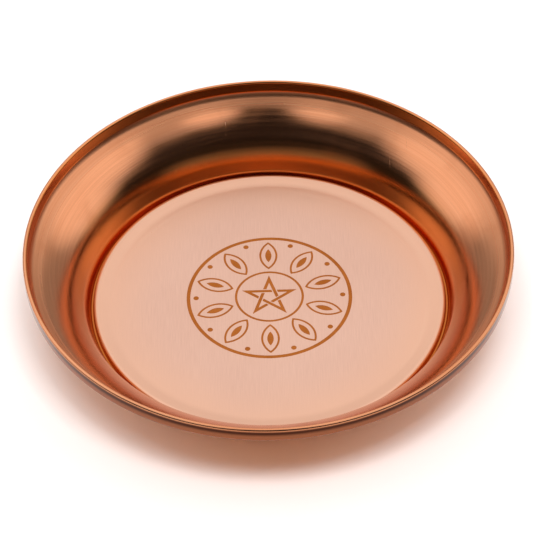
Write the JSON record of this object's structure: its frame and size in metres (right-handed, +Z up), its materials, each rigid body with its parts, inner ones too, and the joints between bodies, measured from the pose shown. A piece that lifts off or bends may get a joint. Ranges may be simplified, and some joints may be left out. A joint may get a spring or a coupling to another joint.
{
  "type": "offering bowl",
  "caption": "Shallow round offering bowl of copper sheet: flat floor with a round star and petal mark, a groove around it, a curved flaring side, an upright lip and a folded rim.",
  "frame": {"origin": "on the table, under the middle of the bowl", "axes": "+Z up along the bowl's turning axis, +Y towards the back, where the star's upper point lies"},
  "size_m": [0.1506, 0.1506, 0.0264],
  "materials": {
    "copper": "bare copper: satin brushed floor, polished spun side, lip and rim",
    "brown_mark": "matt brown oxide film in shallow etched recesses"
  },
  "bodies": {
    "root": {"bowl_shell": "copper", "emblem_outer_ring": "brown_mark", "emblem_inner_ring": "brown_mark", "emblem_star": "brown_mark", "emblem_petals": "brown_mark", "emblem_leaves": "brown_mark", "emblem_dots": "brown_mark"}
  },
  "joints": []
}
